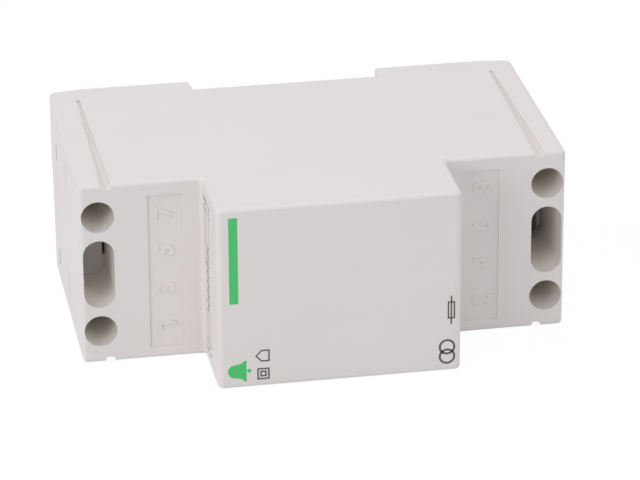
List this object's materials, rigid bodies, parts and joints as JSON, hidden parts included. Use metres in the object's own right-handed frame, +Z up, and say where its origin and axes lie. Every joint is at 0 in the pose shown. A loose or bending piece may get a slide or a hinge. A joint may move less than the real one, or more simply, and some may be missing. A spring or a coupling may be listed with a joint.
{
  "type": "mains transformer",
  "caption": "Light grey modular bell transformer with a raised nose, recessed screw terminals and a sliding clip for a 35 mm rail, lying on its side.",
  "frame": {"origin": "middle of the bounding box's underside, on the side face that it lies on", "axes": "+X along the length towards the even terminals, -Y out of the front of the nose, +Z up"},
  "size_m": [0.0904, 0.063, 0.0355],
  "materials": {
    "cover_plastic": "light grey moulded",
    "base_plastic": "light grey moulded",
    "clip_plastic": "dark grey moulded",
    "spring_steel": "bright strip",
    "core_steel": "silicon steel sheets",
    "bobbin_nylon": "natural nylon",
    "enamelled_wire": "enamelled copper",
    "polyester_tape": "yellow tape",
    "zinc_steel": "zinc plated",
    "contact_brass": "bare brass",
    "primary_lead": "brown insulation",
    "secondary_lead": "white insulation"
  },
  "bodies": {
    "root": {"front_cover": "cover_plastic", "rear_base": "base_plastic", "clip_spring": "spring_steel", "core_e_stack": "core_steel", "core_i_stack": "core_steel", "bobbin": "bobbin_nylon", "primary_winding": "enamelled_wire", "secondary_winding": "enamelled_wire", "primary_tape": "polyester_tape", "secondary_tape": "polyester_tape", "terminal_1_clamp": "zinc_steel", "terminal_1_contact": "contact_brass", "lead_1": "primary_lead", "terminal_7_clamp": "zinc_steel", "terminal_7_contact": "contact_brass", "lead_7": "primary_lead", "terminal_2_clamp": "zinc_steel", "terminal_2_contact": "contact_brass", "lead_2": "secondary_lead", "terminal_6_clamp": "zinc_steel", "terminal_6_contact": "contact_brass", "lead_6": "secondary_lead", "terminal_8_clamp": "zinc_steel", "terminal_8_contact": "contact_brass", "lead_8": "secondary_lead"},
    "clip": {"rail_clip": "clip_plastic"},
    "guard_1": {"terminal_1_wire_guard": "zinc_steel"},
    "screw_1": {"terminal_1_screw": "zinc_steel"},
    "guard_7": {"terminal_7_wire_guard": "zinc_steel"},
    "screw_7": {"terminal_7_screw": "zinc_steel"},
    "guard_2": {"terminal_2_wire_guard": "zinc_steel"},
    "screw_2": {"terminal_2_screw": "zinc_steel"},
    "guard_6": {"terminal_6_wire_guard": "zinc_steel"},
    "screw_6": {"terminal_6_screw": "zinc_steel"},
    "guard_8": {"terminal_8_wire_guard": "zinc_steel"},
    "screw_8": {"terminal_8_screw": "zinc_steel"}
  },
  "joints": [
    {"name": "rail_clip_slide", "type": "slide", "parent": "root", "child": "clip", "axis": [1, 0, 0], "range_m": [0, 0.0032], "stiffness_N_per_m": 400, "springref_m": -0.002, "deforming": ["clip_spring"]},
    {"name": "guard_1_slide", "type": "slide", "parent": "root", "child": "guard_1", "axis": [0, 1, 0], "range_m": [0, 0.0024]},
    {"name": "screw_1_turn", "type": "hinge", "parent": "guard_1", "child": "screw_1", "pos_m": [-0.04185, 0.0021, 0.00635], "axis": [0, 1, 0], "range_deg": [0, 1440]},
    {"name": "guard_7_slide", "type": "slide", "parent": "root", "child": "guard_7", "axis": [0, 1, 0], "range_m": [0, 0.0024]},
    {"name": "screw_7_turn", "type": "hinge", "parent": "guard_7", "child": "screw_7", "pos_m": [-0.04185, 0.0021, 0.02915], "axis": [0, 1, 0], "range_deg": [0, 1440]},
    {"name": "guard_2_slide", "type": "slide", "parent": "root", "child": "guard_2", "axis": [0, 1, 0], "range_m": [0, 0.0024]},
    {"name": "screw_2_turn", "type": "hinge", "parent": "guard_2", "child": "screw_2", "pos_m": [0.04185, 0.0021, 0.00635], "axis": [0, 1, 0], "range_deg": [0, 1440]},
    {"name": "guard_6_slide", "type": "slide", "parent": "root", "child": "guard_6", "axis": [0, 1, 0], "range_m": [0, 0.0024]},
    {"name": "screw_6_turn", "type": "hinge", "parent": "guard_6", "child": "screw_6", "pos_m": [0.04185, 0.0021, 0.02155], "axis": [0, 1, 0], "range_deg": [0, 1440]},
    {"name": "guard_8_slide", "type": "slide", "parent": "root", "child": "guard_8", "axis": [0, 1, 0], "range_m": [0, 0.0024]},
    {"name": "screw_8_turn", "type": "hinge", "parent": "guard_8", "child": "screw_8", "pos_m": [0.04185, 0.0021, 0.02915], "axis": [0, 1, 0], "range_deg": [0, 1440]}
  ],
  "couplings": [
    {"joint": "screw_1_turn", "follows": "guard_1_slide", "rad_per_m": 10472},
    {"joint": "screw_7_turn", "follows": "guard_7_slide", "rad_per_m": 10472},
    {"joint": "screw_2_turn", "follows": "guard_2_slide", "rad_per_m": 10472},
    {"joint": "screw_6_turn", "follows": "guard_6_slide", "rad_per_m": 10472},
    {"joint": "screw_8_turn", "follows": "guard_8_slide", "rad_per_m": 10472}
  ]
}
